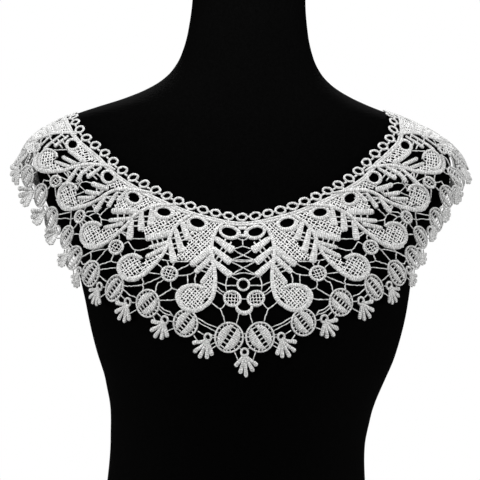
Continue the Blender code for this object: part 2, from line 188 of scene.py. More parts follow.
def onCollar(along, out, lift=0.0):
    # the place on the lace and the way off the form: the chart is read between its four
    # nearest entries, then point = sheet + (stand-off + lift) times the way off
    half, across, down = collar["halfLoops"], collar["ribsPerLoop"], collar["stepsOut"]
    along, out = np.asarray(along, float), np.asarray(out, float)
    folded, share = foldAlong(along), out / depthAt(along)
    i = np.clip((folded * across).astype(int), 0, len(chart["along"]) - 2)
    j = np.clip((share * down).astype(int), 0, down - 1)
    u, v = folded * across - i, share * down - j

    def read(table):
        return ((1 - u) * (1 - v) * table[i, j] + u * (1 - v) * table[i + 1, j]
                + (1 - u) * v * table[i, j + 1] + u * v * table[i + 1, j + 1])

    right = (along + half) % (2 * half) >= half
    angle = np.radians(read(chart["angle"])) * np.where(right, 1, -1)
    high = read(chart["high"])
    angle, high = (angle - collar["twist"] * (high - collar["twistFrom"]),
                   high + collar["tilt"] * np.sin(angle))
    surface, square = laceSheet(angle, high)
    return surface + (collar["standOff"] + np.asarray(lift))[..., None] * square, square


def loopWidth(along, out):
    # mm of lace from one loop to the next, at this distance out
    a, b = onCollar(np.asarray(along) + 0.05, out)[0], onCollar(np.asarray(along) - 0.05, out)[0]
    return np.linalg.norm(a - b, axis=-1) / 0.1


widthOuts = np.arange(-10, 171, 5.0)    # mm out at which a place's loop widths are kept
widthTables = {}


def chartSpots(at, points):
    # mm beside and below a place on the neck edge -> loops along and mm out
    key = round(float(foldAlong(at)), 3)
    if key not in widthTables:
        widthTables[key] = loopWidth(np.full(widthOuts.shape, key), widthOuts)
    points = np.asarray(points, float)
    wide = np.interp(points[..., 1], widthOuts, widthTables[key])
    return np.stack([at + points[..., 0] / wide, points[..., 1]], -1)


# Thread work: every thread and padded band is carried along a path of the chart, whose
# points are loops along the neck edge and mm out from it.
chance = np.random.default_rng(7)
thread = dict(
    sample=1.6,             # mm between the points of an oval
    shift=37.0,             # mm further on in the stitch pattern at which each path starts
    bride=1.2,              # thickness of a bride, mm
    netThread=1.2,          # thickness of a net's thread, mm
    netUneven=(0.65, 1.6),  # its least and its most, as shares
    netPitch=2.8,           # mm between net threads
    netSlip=0.45,           # mm by which a net thread may lie off its place
    netWaver=0.34,          # how far its points waver, mm
    netLean=66.0,           # degrees of the first family of threads
    netCross=84.0,          # and from it to the second
    netSample=1.5,          # mm between its points
)
satinFinish, cordFinish, netFinish, ribbedFinish = 0, 1, 2, 3   # places in laceFinishes


def newBag():
    # what one half of the collar gathers before it is made one mesh
    return dict(points=[], quads=[], uvs=[], finishes=[], count=0)


bags = dict(front=newBag(), back=newBag())
sewnSpots = []              # chart spots and half widths in mm of all that is sewn


def softCurve(points, spacing):
    # a smooth curve through the points (cubic whose slope joins the neighbours),
    # sampled again at even distances
    points = np.asarray(points, float)
    points = np.vstack([2 * points[0] - points[1], points, 2 * points[-1] - points[-2]])
    t = np.linspace(0, 1, 12, endpoint=False)[:, None, None]
    a, b, c, d = points[:-3], points[1:-2], points[2:-1], points[3:]
    run = 0.5 * (2 * b + (c - a) * t + (2 * a - 5 * b + 4 * c - d) * t ** 2
                 + (3 * b - a - 3 * c + d) * t ** 3)
    run = np.concatenate([run[:, i] for i in range(run.shape[1])])
    run = np.vstack([run, points[-2]])
    gone = lengthAlong(run)
    number = max(2, int(math.ceil(gone[-1] / spacing)) + 1)
    at = np.linspace(0, gone[-1], number)
    return np.stack([np.interp(at, gone, run[:, k]) for k in (0, 1)], -1)


def straight(start, end, spacing=4.0):
    # even samples of a straight line
    start, end = np.asarray(start, float), np.asarray(end, float)
    number = max(2, int(math.ceil(np.linalg.norm(end - start) / spacing)) + 1)
    return start + (end - start) * np.linspace(0, 1, number)[:, None]


def ovalCurve(x, y, rx, ry, turn=0.0, spacing=None):
    # a closed ellipse, turned clockwise by degrees
    number = max(8, int(math.pi * (rx + ry) / (spacing or thread["sample"])))
    angle = np.arange(number) * 2 * math.pi / number
    lean = math.radians(turn)
    u, v = rx * np.cos(angle), ry * np.sin(angle)
    return np.stack([x + u * math.cos(lean) - v * math.sin(lean),
                     y + u * math.sin(lean) + v * math.cos(lean)], -1)


def sew(paths, width, rise, lift=0.0, sides=6, finish=cordFinish, closed=False, edges=None):
    # a thread with an oval section carried along each path of the chart: point =
    # path + width/2 cos(a) sideways + rise/2 sin(a) off the form, a going round; with
    # edges, the width and the sideways direction are what lies between the two edges
    if not paths:
        return
    count = np.array([len(path) for path in paths])
    spots = np.concatenate(paths)
    owner = np.repeat(np.arange(len(paths)), count)
    width, rise, lift = [np.concatenate([np.broadcast_to(v, n) for v, n in zip(value, count)])
                         if isinstance(value, list) else np.full(len(spots), float(value))
                         for value in (width, rise, lift)]
    starts, ends = np.cumsum(count) - count, np.cumsum(count) - 1
    first, last, here = starts[owner], ends[owner], np.arange(len(spots))
    ahead = np.where(here < last, here + 1, first if closed else here)
    behind = np.where(here > first, here - 1, last if closed else here)
    centre, square = onCollar(spots[:, 0], spots[:, 1], lift)
    tangent = centre[ahead] - centre[behind]
    tangent /= np.maximum(np.linalg.norm(tangent, axis=1, keepdims=True), 1e-9)
    side = np.cross(tangent, square)
    side /= np.maximum(np.linalg.norm(side, axis=1, keepdims=True), 1e-9)
    off = np.cross(side, tangent)
    if edges:
        both = [onCollar(*np.concatenate([pair[k] for pair in edges]).T, lift)[0]
                for k in (0, 1)]
        span = both[1] - both[0]
        span *= np.sign(np.sum(span * side, axis=1))[:, None]
        width = np.linalg.norm(span, axis=1)
        side = span / np.maximum(width[:, None], 1e-9)
        centre = (both[0] + both[1]) / 2
    sewnSpots.append(np.column_stack([spots, width / 2]))
    angle = (np.arange(sides) + 0.5) * 2 * math.pi / sides
    rings = (centre[:, None] + side[:, None] * (width / 2)[:, None, None] * np.cos(angle)[:, None]
             + off[:, None] * (rise / 2)[:, None, None] * np.sin(angle)[:, None])

    # walls from ring to ring, their UV the mm run along the path and the share round it
    gone = np.cumsum(np.linalg.norm(centre - centre[behind], axis=1) * (here > first))
    gone += thread["shift"] * owner - gone[first]
    k = np.arange(sides)
    after = (k + 1) % sides
    joined = here if closed else here[here < last]
    onward = ahead[joined]
    walls = np.stack([joined[:, None] * sides + k, onward[:, None] * sides + k,
                      onward[:, None] * sides + after, joined[:, None] * sides + after], -1)
    step = np.linalg.norm(centre[onward] - centre[joined], axis=1)
    reach = np.stack([gone[joined], gone[joined] + step], -1)[:, None, [0, 1, 1, 0]]
    turn = (k[:, None] + np.array([0, 0, 1, 1])) / sides
    wallUvs = np.stack(np.broadcast_arrays(reach, turn), -1)
    quads, uvs = [walls.reshape(-1, 4)], [wallUvs.reshape(-1, 4, 2)]
    owners = [np.repeat(owner[joined], sides)]
    for j in range(0 if closed else sides // 2 - 1):        # the two ends are closed by quads
        corner = np.array([0, 2 * j + 1, 2 * j + 2, 2 * j + 3])
        for ring, order in ((starts, corner), (ends, corner[::-1])):
            quads.append(ring[:, None] * sides + order)
            cap = np.zeros((len(ring), 4, 2))
            cap[:, :, 0] = gone[ring][:, None]
            uvs.append(cap)
            owners.append(np.arange(len(paths)))
    quads, uvs, owners = np.concatenate(quads), np.concatenate(uvs), np.concatenate(owners)

    # each path goes whole to the half of the collar that its middle lies on
    middle = np.array([foldAlong(path[:, 0]).mean() for path in paths])
    for name, mine in (("front", middle < collar["seam"]), ("back", middle >= collar["seam"])):
        keepQuads, keepPoints = mine[owners], np.repeat(mine[owner], sides)
        if keepPoints.any():
            number = np.cumsum(keepPoints) - 1
            bag = bags[name]
            bag["points"].append(rings.reshape(-1, 3)[keepPoints])
            bag["quads"].append(number[quads[keepQuads]] + bag["count"])
            bag["uvs"].append(uvs[keepQuads])
            bag["finishes"].append(np.full(keepQuads.sum(), finish))
            bag["count"] += int(keepPoints.sum())


def bothSides(paths):
    # the same paths on the other half of the collar
    return paths + [path * (-1, 1) for path in paths]


def sewBoth(paths, width, rise, lift=0.0, **kind):
    # the same threads on both halves; what is given path by path is given twice
    width, rise, lift = [value + value if isinstance(value, list) else value
                         for value in (width, rise, lift)]
    sew(bothSides(paths), width, rise, lift=lift, **kind)


def sewBands(pairs, rise, lift=0.0, finish=satinFinish, closed=False):
    # padded bands on both halves, each between two edges of equal samples: point =
    # middle + half the span cos(a) + rise/2 sin(a) off the form
    pairs = pairs + [(a * (-1, 1), b * (-1, 1)) for a, b in pairs]
    sew([0.5 * (a + b) for a, b in pairs], 1.0, rise, lift=lift, sides=8, finish=finish,
        closed=closed, edges=pairs)


def bulge(number, middle, ends, sharp=0.6):
    # a width that swells from the ends to the middle as a power of a half sine wave
    return ends + (middle - ends) * np.sin(np.linspace(0, math.pi, number)) ** sharp


def insideOf(points, outline):
    # even-odd test of many points against a closed outline
    crossings = np.zeros(points.shape[:-1], int)
    for (x0, y0), (x1, y1) in zip(outline, np.roll(outline, -1, axis=0)):
        spans = (points[..., 1] > y0) != (points[..., 1] > y1)
        rise = (points[..., 1] - y0) / (y1 - y0 if y1 != y0 else 1.0)
        crossings += spans & (points[..., 0] < x0 + (x1 - x0) * rise)
    return crossings % 2 == 1


def netThreads(at, outline, turn=thread["netLean"], pitch=thread["netPitch"], besides=()):
    # two crossing families of wavering threads, cut off where they leave the outline
    # or reach one of the closed curves besides it
    outline = np.asarray(outline, float)
    centre = outline.mean(0)
    reach = np.linalg.norm(outline - centre, axis=1).max()
    found = []
    for lean in (turn, turn + thread["netCross"]):
        ahead = np.array([math.cos(math.radians(lean)), math.sin(math.radians(lean))])
        aside = np.array([-ahead[1], ahead[0]])
        for shift in np.arange(-reach, reach + pitch, pitch):
            shift = shift + chance.uniform(-thread["netSlip"], thread["netSlip"])
            line = np.arange(-reach, reach + 0.6, 0.6)
            points = centre + aside * shift + ahead * line[:, None]
            kept = insideOf(points, outline)
            for curve in besides:
                kept &= ~insideOf(points, curve)
            edges = np.flatnonzero(np.diff(np.r_[0, kept.astype(int), 0]))
            for start, stop in zip(edges[::2], edges[1::2]):
                if stop - start > 2:
                    path = straight(points[start], points[stop - 1], thread["netSample"])
                    path = path + chance.normal(0, thread["netWaver"], path.shape)
                    found.append(chartSpots(at, path))
    return found


def sewNet(paths):
    # flat threads whose thickness varies at random from point to point
    widths = [thread["netThread"] * chance.uniform(*thread["netUneven"], len(path))
              for path in paths]
    sewBoth(paths, widths, 0.9, sides=4, finish=netFinish)


def roughen(profile, amount=0.1):
    # a width profile with small uneven steps, as satin stitches leave at their edges
    return profile * (1 + chance.uniform(-amount, amount, len(profile)))


def waver(path, amount):
    # a path of the chart whose inner points are moved at random by about this much, mm
    moved = chance.normal(0, amount, path.shape) * (1 / chart["loop"], 1)
    moved[[0, -1]] = 0
    return path + moved


def tieEnds(paths, reach=4.5, touch=0.4):
    # each loose end of a path is moved to the nearest thread within reach, mm
    sewn = np.concatenate(sewnSpots)
    mine = np.concatenate([np.column_stack([path, np.full(len(path), thread["bride"] / 2)])
                           for path in paths])
    owner = np.repeat(np.arange(len(paths)), [len(path) for path in paths])
    for number, path in enumerate(paths):
        spots = np.concatenate([sewn, mine[owner != number]])
        for end in (0, -1):
            scale = np.array([float(loopWidth(*path[end])), 1.0])
            away = (spots[:, :2] - path[end]) * scale
            gap = np.linalg.norm(away, axis=1) - spots[:, 2]
            nearest = gap.argmin()
            if touch < gap[nearest] < reach:
                path[end] += away[nearest] / scale
    return paths


def blunt(number, middle, tip=0.6, bell=0.0):
    # a width that is nearly even, falls to the tip's share over the last two samples and
    # grows towards the end by the bell's share
    t = np.linspace(0, 1, number)
    ends = np.minimum(1, np.minimum(t, 1 - t) * number / 2.2 + tip)
    return middle * ends * (1 + bell * (t - 0.5))


def rungs(first, second, at, shares):
    # short threads from shares of the first path's length to the nearest of the second
    starts = [first[int(round(share * (len(first) - 1)))] for share in shares]
    ends = [second[np.argmin(np.linalg.norm(second - start, axis=1))] for start in starts]
    return [chartSpots(at, np.array(pair)) for pair in zip(starts, ends)]


def towardNeck(path, length):
    # the way square to a straight path, towards the neck edge
    ahead = (path[-1] - path[0]) / np.linalg.norm(path[-1] - path[0])
    return length * np.array([ahead[1], -ahead[0]]) * (1 if ahead[0] > 0 else -1)


# The edge of loops and the neck band of two cords.
neckEdge = dict(
    wide=11.8, tall=8.9, cord=2.3,      # a ring at centre front, mm
    above=0.6,                          # mm of a ring's middle above the edge's line
    sideways=(-2.0, 1.7, -1.7),         # mm wider, taller and further up at the sides
    sideFrom=(3, 8),                    # loops at which that starts and is full
    unevenWide=(0.94, 1.03), unevenTall=(0.94, 1.04), unevenCord=(0.85, 1.2),     # shares
    lean=9, tremble=0.16,               # a ring's lean in degrees, its points' in mm
    tie=1.6,                            # half the length of the tie between two rings, mm
    stub=2.0, stubFrom=2.2, stubTo=5.0,     # from ring to band: thickness, mm out
    bandCords=(5.1, 7.3), bandThread=2.5,   # mm out, thickness
    parting=0.03,                       # loops left open where front and back meet
)


def sewNeckEdge():
    # a ring of cord for each loop, a tie between two rings, a stub from each to the band,
    # and the band's cords
    e, half, loop, seam = neckEdge, collar["halfLoops"], chart["loop"], collar["seam"]
    rx, ry = (e["wide"] - e["cord"]) / 2, (e["tall"] - e["cord"]) / 2
    rings, spans = [], []
    for number in range(-half, half):
        side = ramp(abs(number), *e["sideFrom"])
        wider, taller, up = [side * change for change in e["sideways"]]
        ring = ovalCurve(0, up - e["above"], (rx + wider / 2) * chance.uniform(*e["unevenWide"]),
                         (ry + taller / 2) * chance.uniform(*e["unevenTall"]),
                         chance.uniform(-e["lean"], e["lean"]))
        ring = ring + chance.normal(0, e["tremble"], ring.shape)
        rings.append(np.stack([number + ring[:, 0] / loop, ring[:, 1]], -1))
        spans.append(np.array([[number + 0.5 - e["tie"] / loop, -e["above"]],
                               [number + 0.5 + e["tie"] / loop, -e["above"]]]))
        spans.append(np.array([[number, e["stubFrom"]], [number, e["stubTo"]]]))
    sew(rings, [e["cord"] * chance.uniform(*e["unevenCord"], len(ring)) for ring in rings], 1.7,
        closed=True)
    sew(spans, e["stub"], 1.4)
    front = np.arange(-seam, seam + 0.01, 1 / 6)
    back = np.arange(seam + e["parting"], 2 * half - seam - 0.02, 1 / 6)
    for row, out in enumerate(e["bandCords"]):
        sew([np.stack([run, np.full(run.shape, out)], -1) for run in (front, back)],
            e["bandThread"], 1.7, lift=0.1 * row)


sewNeckEdge()
print("neck edge sewn")

# Centre front, in mm beside and below the middle of the neck edge.
centreFront = dict(
    brides=[[(0, 28), (8, 31)], [(0, 28), (-8, 31)],
            [(9, 32), (0, 37), (-11, 42)], [(-9, 32), (0, 37), (11, 42)],
            [(-11, 42), (11, 42)], [(-11, 43.3), (11, 43.3)],
            [(-13, 43.5), (0, 49.5), (12, 57)], [(13, 43.5), (0, 49.5), (-12, 57)],
            [(-11, 57), (0, 54.5), (11, 57)], [(-4, 80), (4, 80)], [(-2, 113), (2, 113)],
            [(-2, 117), (2, 117)],
            [(-5, 20), (0, 22), (5, 20)], [(0, 21), (0, 28)]],
    brideUneven=(0.85, 1.35),           # least and most thickness, as shares
    bars=[[(-4, 10.2), (4, 10.2)], [(-2.6, 17.6), (2.6, 17.6)]],     # between the two eyelets
    bar=3.2,
    ring=(-0.5, 66, 5.5, 5.5, 2.3),     # middle, radii, thickness
    crescent=[(-7.6, 86), (-6, 91), (0, 93.6), (6, 91), (7.6, 86)],
    crescentWide=(4.4, 1.4), crescentRise=(2.1, 1.0),       # in the middle, at the ends
)


def sewCentreFront():
    # a lattice of brides, the plain ring and the half-moon below the two plaid rings
    c = centreFront
    paths = [waver(chartSpots(0, softCurve(bride, 2.5)), 0.13) for bride in c["brides"]]
    sew(paths, [thread["bride"] * chance.uniform(*c["brideUneven"], len(path)) for path in paths],
        1.15, sides=4)
    sew([chartSpots(0, straight(*bar, 1.3)) for bar in c["bars"]], c["bar"], 1.9, sides=8,
        finish=satinFinish, lift=0.15)
    x, y, rx, ry, wide = c["ring"]
    sew([chartSpots(0, ovalCurve(x, y, rx, ry))], wide, 1.9, closed=True, finish=satinFinish)
    path = softCurve(c["crescent"], 1.4)
    sew([chartSpots(0, path)], [roughen(bulge(len(path), *c["crescentWide"]))],
        [bulge(len(path), *c["crescentRise"])], sides=8, finish=satinFinish)


sewCentreFront()


# Sprigs, drops, eyelets and plaid rings.  Places are mm beside the loop named by "at" and
# out from the neck edge.  The last of each kind is worked again at every repeat, up to the
# centre back.
ground = dict(
    repeat=3.45,            # loops from one hidden unit to the next
    repeatStout=1.3,        # how much thicker the fronds are there
    stemWide=(3.6, 4.6),    # a sprig's stem near the neck and from its bend on, mm
    frond=dict(slot=1.8, tip=0.6, bell=0.55, finish=satinFinish),
    leaf=dict(slot=1.7, tip=0.55, bell=0.0, finish=ribbedFinish),
    leafWide=0.88,          # share of a leaf's listed width
    tab=6.5, tabShares=(0.45, 0.68),    # stubs from the first frond towards the neck, mm
    plaidRing=2.7, plaidThread=0.85, plaidPitch=3.2, plaidLean=2,
    brideUneven=(0.8, 1.4), brideWaver=0.17,
    # a frond or a leaf: start, end, width; shares: where short threads leave each one
    sprigs=[
        dict(at=0, spine=[(17, 5), (20, 9), (25, 15), (29, 24), (31, 35), (30, 45), (28.5, 56),
                          (28.5, 66), (30, 76), (34, 85), (41, 92), (48, 97), (55, 99)],
             fronds=[(27, 23, 9, 33, 7), (30, 33, 12, 45, 6.4), (31, 45, 12, 58, 6.2)],
             shares=((0.52, 0.72), (0.2, 0.42, 0.62))),
        dict(at=3.6, spine=[(-2, 4), (1, 8), (5, 14), (8, 21), (9.5, 31), (8.5, 41), (8.5, 51),
                            (11, 61), (15, 70), (20, 78), (27, 84), (35, 88), (43, 91)],
             fronds=[(5, 17.5, -9, 31.5, 6), (8, 25.5, -8, 45, 6.2), (9, 37.5, -5, 57, 6.2)],
             shares=((0.52, 0.72, 0.9), (0.36, 0.57, 0.78), (0.43, 0.68))),
        dict(at=6.6, spine=[(-21, 3), (-14, 7), (-7, 12), (-2.5, 19), (0.5, 26), (2, 34),
                            (1.5, 43), (3, 52), (5.5, 61), (9, 69), (15, 76), (22, 81),
                            (31, 83.5)],
             fronds=[(-5, 15, -16.5, 33, 5.2), (0, 23, -13.5, 42, 6.2), (1, 36, -10, 55, 6.2)],
             shares=((0.52, 0.78), (0.28, 0.5, 0.73), (0.4, 0.66, 0.9))),
        dict(at=9.9, spine=[(-34, 2), (-28, 5), (-21, 9), (-14, 14), (-9, 20), (-6.5, 27),
                            (-5, 35), (-1.5, 44), (3, 52), (8, 59.5), (14, 66), (21, 69.5),
                            (28, 68)],
             fronds=[(-18, 12, -20.5, 27, 4), (-13, 19, -17.5, 37.5, 4.4),
                     (-8, 30, -10.5, 49, 4.6)],
             shares=((0.35, 0.65, 0.95), (0.3, 0.55, 0.8), (0.2, 0.45, 0.7, 0.95))),
        dict(at=13.4, spine=[(-38, 2), (-31, 5), (-25, 11), (-18, 19), (-14, 28), (-10, 37),
                             (-4, 45), (1, 50.5), (7, 55), (14, 57), (20, 55), (24, 49)],
             fronds=[(-29, 10, -30, 29, 4), (-23, 13, -24.5, 38, 4.2), (-17.5, 24, -18, 50, 4)],
             shares=((0.35, 0.6, 0.85), (0.2, 0.4, 0.6, 0.8), (0.3, 0.5, 0.7))),
        dict(at=16.85, spine=[(-27, 3), (-22, 8), (-17, 14), (-12.5, 22), (-9.5, 31), (-6, 40),
                              (-2, 47), (3, 52), (8, 55), (14, 57), (20, 55), (24, 49)],
             fronds=[(-24, 11, -25.5, 30, 3.6), (-18.5, 15, -21, 42, 3.4),
                     (-12.8, 27, -15, 43, 2.2)],
             shares=((0.25, 0.6, 0.9), (0.5,), (0.5,))),
    ],
    # head and rim: middle and radii; arc: degrees of the rim, clockwise from sideways
    drops=[
        dict(at=3.6, leaves=[(-33, 33, -20.5, 55, 8), (-36.5, 41, -27, 61, 6.4),
                             (-41.5, 49, -36.5, 70, 5.2)],
             shares=((0.42, 0.65, 0.88), (0.25, 0.45, 0.63, 0.8)),
             tail=[(-43, 52), (-39, 60), (-36, 71), (-40, 82), (-50, 84), (-52, 74), (-48, 62)],
             head=(-34, 85, 11.8, 10.2), rim=(-33.5, 85.2, 17.2, 14.2), arc=(-118, 150)),
        dict(at=6.6, leaves=[(-36, 31, -21, 46.5, 7.8), (-39.8, 38.5, -28.2, 53, 4.6),
                             (-39.5, 45, -31.5, 62.5, 5.8)],
             shares=((0.15, 0.38, 0.6, 0.82), (0.3, 0.5, 0.7, 0.88)),
             tail=[(-41, 51), (-36, 57), (-32, 64), (-33, 72), (-34, 80), (-39, 79), (-42, 66)],
             head=(-25.5, 77, 8.4, 10.2), rim=(-25.8, 77.3, 12.8, 14.2), arc=(-110, 150)),
        dict(at=9.9, leaves=[(-43, 26, -23, 39, 7.2), (-43.5, 35.3, -27, 48.6, 4.8),
                             (-40, 43.5, -28, 57.5, 5)],
             shares=((0.12, 0.3, 0.5, 0.72), (0.3, 0.5, 0.7)),
             tail=[(-41, 49), (-33, 54), (-28, 60), (-28, 70), (-31, 76), (-37, 70)],
             head=(-20.8, 69, 8.6, 10.2), rim=(-20.8, 69.3, 12.6, 14.2), arc=(-110, 150)),
        dict(at=9.9, leaves=[(-4, 21.5, 11, 29.5, 6.2), (-2, 30.5, 10.5, 40, 5.2),
                             (0, 37, 12, 50.5, 4.4)],
             shares=((0.2, 0.45, 0.7), (0.2, 0.5)),
             tail=[(0, 39), (6, 43), (11, 49), (13, 57), (13, 63), (7, 56)],
             head=(20.8, 56, 8, 10), rim=(20.6, 57.4, 11.2, 14.5), arc=(-115, 150)),
        dict(at=13.4, leaves=[(-16, 17.5, 7, 20, 5.8), (-12, 25, 5, 29.5, 4.6),
                              (-10.5, 32, 5, 38, 4.2)],
             shares=((0.1,), (0.15,)),
             tail=[(-8, 37), (2, 39), (6, 42), (7, 50), (6, 53), (-1, 47)],
             head=(12.6, 42, 7.8, 8.2), rim=(12.4, 42.8, 10.9, 11.4), arc=(-120, 150)),
    ],
    # hole and rim: middle and radii; field: the outline of the net round it
    eyelets=[
        dict(at=0, hole=(12.9, 15, 7.2, 4), rim=(12.2, 15.4, 11, 7.2), field=[]),
        dict(at=3.6, hole=(-8.6, 13.2, 7, 4), rim=(-9, 14.2, 10.2, 7.6), turn=-5,
             field=[(-32, 8), (-19, 6), (2, 7), (6, 17), (-5, 22), (-10, 27), (-9, 37), (-6, 44),
                    (-4, 49), (-6, 53), (-17, 52), (-22, 47), (-30, 36), (-31, 28), (-29, 18)]),
        dict(at=6.6, hole=(-17.6, 14.8, 5.8, 4.1), rim=(-18.2, 15.8, 9, 7.6), turn=8,
             field=[(-37, 7), (-26, 6), (-12, 8), (-7, 14), (-14, 28), (-14, 42), (-20, 44),
                    (-26, 37), (-35, 29), (-36, 18)]),
        dict(at=6.6, hole=(15.4, 15.6, 6.2, 4.3), rim=(14.9, 16, 9.2, 7.7), turn=-14,
             field=[(-10, 6), (6, 5), (14, 5), (22, 12), (25, 22), (26, 32), (20, 35), (3, 26),
                    (0, 19)]),
        dict(at=9.9, hole=(4.5, 12.2, 4.6, 4.6), rim=(4.5, 12.7, 7.4, 7.6),
             field=[(-24, 5), (-2, 4.5), (6, 5), (9, 10), (8, 19), (0, 20), (-5, 19), (-10, 17),
                    (-16, 11)]),
        dict(at=13.4, hole=(9, 13, 4.4, 4.4), rim=(9, 13.5, 7.4, 7.4),
             field=[(-30, 5), (0, 4.5), (11, 5), (14, 12), (12, 18), (3, 17.5), (-15, 16),
                    (-22, 10)]),
        dict(at=16.85, hole=(9, 13, 4.4, 4.4), rim=(9, 13.5, 7.4, 7.4),
             field=[(-24, 5), (0, 4.5), (11, 5), (14, 12), (16, 30), (15, 56), (5, 65), (-5, 63),
                    (-12, 60), (-13, 55), (-7, 52), (-7, 40), (-10, 30), (-13, 22), (-18, 13)]),
    ],
    # at, middle, radii
    plaids=[(0, 11.5, 80, 9.4, 8.4), (3.6, -4.5, 68.5, 8.9, 8), (6.6, -3, 67.5, 8, 8),
            (9.9, -0.5, 62, 6, 7.6), (13.4, -9, 54.5, 5.8, 7.4), (16.85, -13, 49, 5.4, 6.4)],
    # at, then the points of each bride
    brides=[
        (0, [[(16, 59), (18, 67), (17, 73)], [(12, 58), (5, 62)], [(6, 67), (18, 68)],
              [(18, 68), (28, 65.5)], [(19, 75), (28, 70)], [(20, 78), (29, 73)],
              [(19, 86), (24, 91), (33, 86)], [(24, 91), (21, 97), (20, 103)],
              [(5, 94), (7, 103)], [(27, 109), (37, 107), (46, 103)],
              [(29, 113), (38, 110), (47, 106)], [(28, 117), (35, 116)],
              [(29, 122), (34, 126)]]),
        (3.6, [[(-17, 52), (-7, 55)], [(-20, 53), (-11, 63)], [(-5, 57), (-5, 61)],
              [(-26, 60), (-21, 65), (-13, 68)], [(-28, 62), (-31, 72)], [(-21, 65), (-25, 74)],
              [(0, 57), (8, 58)], [(2, 58), (-1, 62)], [(4, 66), (11, 63)],
              [(4, 72), (15, 74.5)], [(3, 75), (18, 87)], [(-1, 77), (4, 82), (4, 90)],
              [(-9, 76), (-12, 81), (-18, 81)], [(-12, 81), (-2, 91)], [(-17, 91), (-4, 95)],
              [(-18, 103), (-10, 103), (-3, 100)], [(-19, 106), (-10, 106), (-3, 103)],
              [(21, 81), (18, 88), (16, 94)], [(19, 88), (27, 92), (37, 96)],
              [(23, 101), (30, 102), (38, 100)]]),
        (6.6, [[(-21, 47), (-11, 53)], [(-10, 57), (-20, 61), (-27, 55)],
              [(-20, 61), (-22, 66)], [(-13, 73), (-9, 70)], [(-5, 75), (-7, 81), (-14, 80)],
              [(-7, 81), (2, 91)], [(-14, 85), (0, 95)], [(-10, 101), (0, 100)],
              [(-3, 58), (0, 62)], [(-5, 50), (4, 52)], [(4, 72), (5, 78), (7, 89)],
              [(6, 74), (19, 85), (28, 95)], [(19, 85), (14, 90)],
              [(14, 91), (20, 99), (29, 97)], [(9, 73), (20, 84)]]),
        (9.9, [[(-26, 50), (-20, 51), (-17, 49), (-18, 38)], [(-17, 49), (-9, 48)],
              [(-20, 51), (-24, 56)], [(-14, 57), (-6, 56)], [(-13, 63), (-6, 62)],
              [(-4, 44), (0, 50), (-1, 55)], [(-9, 71), (-4, 67)], [(-9, 77), (-3, 81)],
              [(-2, 69), (-2, 76)], [(-12, 41), (-12, 49), (-8, 54)], [(-5, 50), (-3, 57)],
              [(-10, 66), (-6, 66)], [(10, 40), (19, 40), (20, 36)], [(19, 40), (25, 39)],
              [(11, 41), (14, 48)], [(20, 40), (24, 47)]]),
        (6.6, [[(-10, 57), (-8, 61)], [(1, 55), (-1, 60)]]),
        (9.9, [[(3, 67), (6, 71), (3, 77)], [(6, 71), (10, 64)], [(10, 66), (19.5, 79)],
              [(9, 73), (18, 82)], [(10, 28), (18, 36), (17, 44)], [(18, 36), (22, 35)],
              [(-11, 92), (-4, 90)]]),
        (13.4, [[(8, 21), (12, 26), (17, 32)], [(-17, 48), (-14, 53)], [(-8, 40), (-15, 43)],
              [(-5, 46), (-8, 49)], [(-17, 45), (-9, 48)], [(-4, 56), (2, 53)],
              [(-4, 60), (3, 63)], [(12, 57), (12, 64)], [(18, 56), (18, 62)],
              [(24, 51), (27, 60)], [(-13, 60), (-19, 68)], [(-8, 61), (-7, 67)]]),
    ],
)


def everyUnit(listed):
    # the listed units, then the last place's again at every repeat past the centre back
    found = list(listed)
    last = [unit for unit in listed if unit["at"] == listed[-1]["at"]]
    at = last[0]["at"] + ground["repeat"]
    while at < collar["halfLoops"] + 2:
        found += [dict(unit, at=at, stout=ground["repeatStout"]) for unit in last]
        at += ground["repeat"]
    return found


def upToBack(paths):
    # only the paths whose middle lies on this half
    return [path for path in paths if path[:, 0].mean() < collar["halfLoops"] + 0.01]


def sewBars(unit, rows, joins, look, share):
    # blunt padded bars, each as wide as its row says, over the short threads that join
    # them: the first to the second, that to the third, and what joins adds
    at, shares = unit["at"], unit["shares"]
    bars = [straight(row[:2], row[2:4], 1.5) for row in rows]
    slots = rungs(bars[0], bars[1], at, shares[0]) + rungs(bars[1], bars[2], at, shares[1])
    sewBoth(upToBack(slots + joins(bars)), look["slot"], 1.1, sides=4)
    bars = [(chartSpots(at, bar),
             roughen(blunt(len(bar), share * row[4], look["tip"], look["bell"]), 0.08))
            for bar, row in zip(bars, rows)]
    bars = [bar for bar in bars if upToBack([bar[0]])]
    sewBoth([bar[0] for bar in bars], [bar[1] for bar in bars], 2.0, sides=8,
            finish=look["finish"], lift=0.1)


def sewSprigs():
    # a stem whose width grows from the neck edge to its bend, and three fronds beside it
    thin, thick = ground["stemWide"]
    for unit in everyUnit(ground["sprigs"]):
        at = unit["at"]
        path = chartSpots(at, softCurve(unit["spine"], 1.5))
        path = path[path[:, 0] < collar["halfLoops"]]
        if len(path) > 4:
            t = np.linspace(0, 1, len(path))
            wide = thin + (thick - thin) * np.clip(t * 3 - 1.4, 0, 1)
            wide = roughen(wide * np.minimum(1, 0.55 + 4 * np.minimum(t, 1 - t)))
            sewBoth([path], [wide], 2.2, sides=8, finish=satinFinish, lift=0.25)

        def joins(bars):
            # threads from the third frond to the stem, and stubs above the first
            toStem = unit["shares"][2] if len(unit["shares"]) > 2 else ()
            return (rungs(bars[2], np.array(unit["spine"]), at, toStem)
                    + rungs(bars[0], bars[0] + towardNeck(bars[0], ground["tab"]), at,
                            ground["tabShares"]))

        sewBars(unit, unit["fronds"], joins, ground["frond"], unit.get("stout", 1.0))


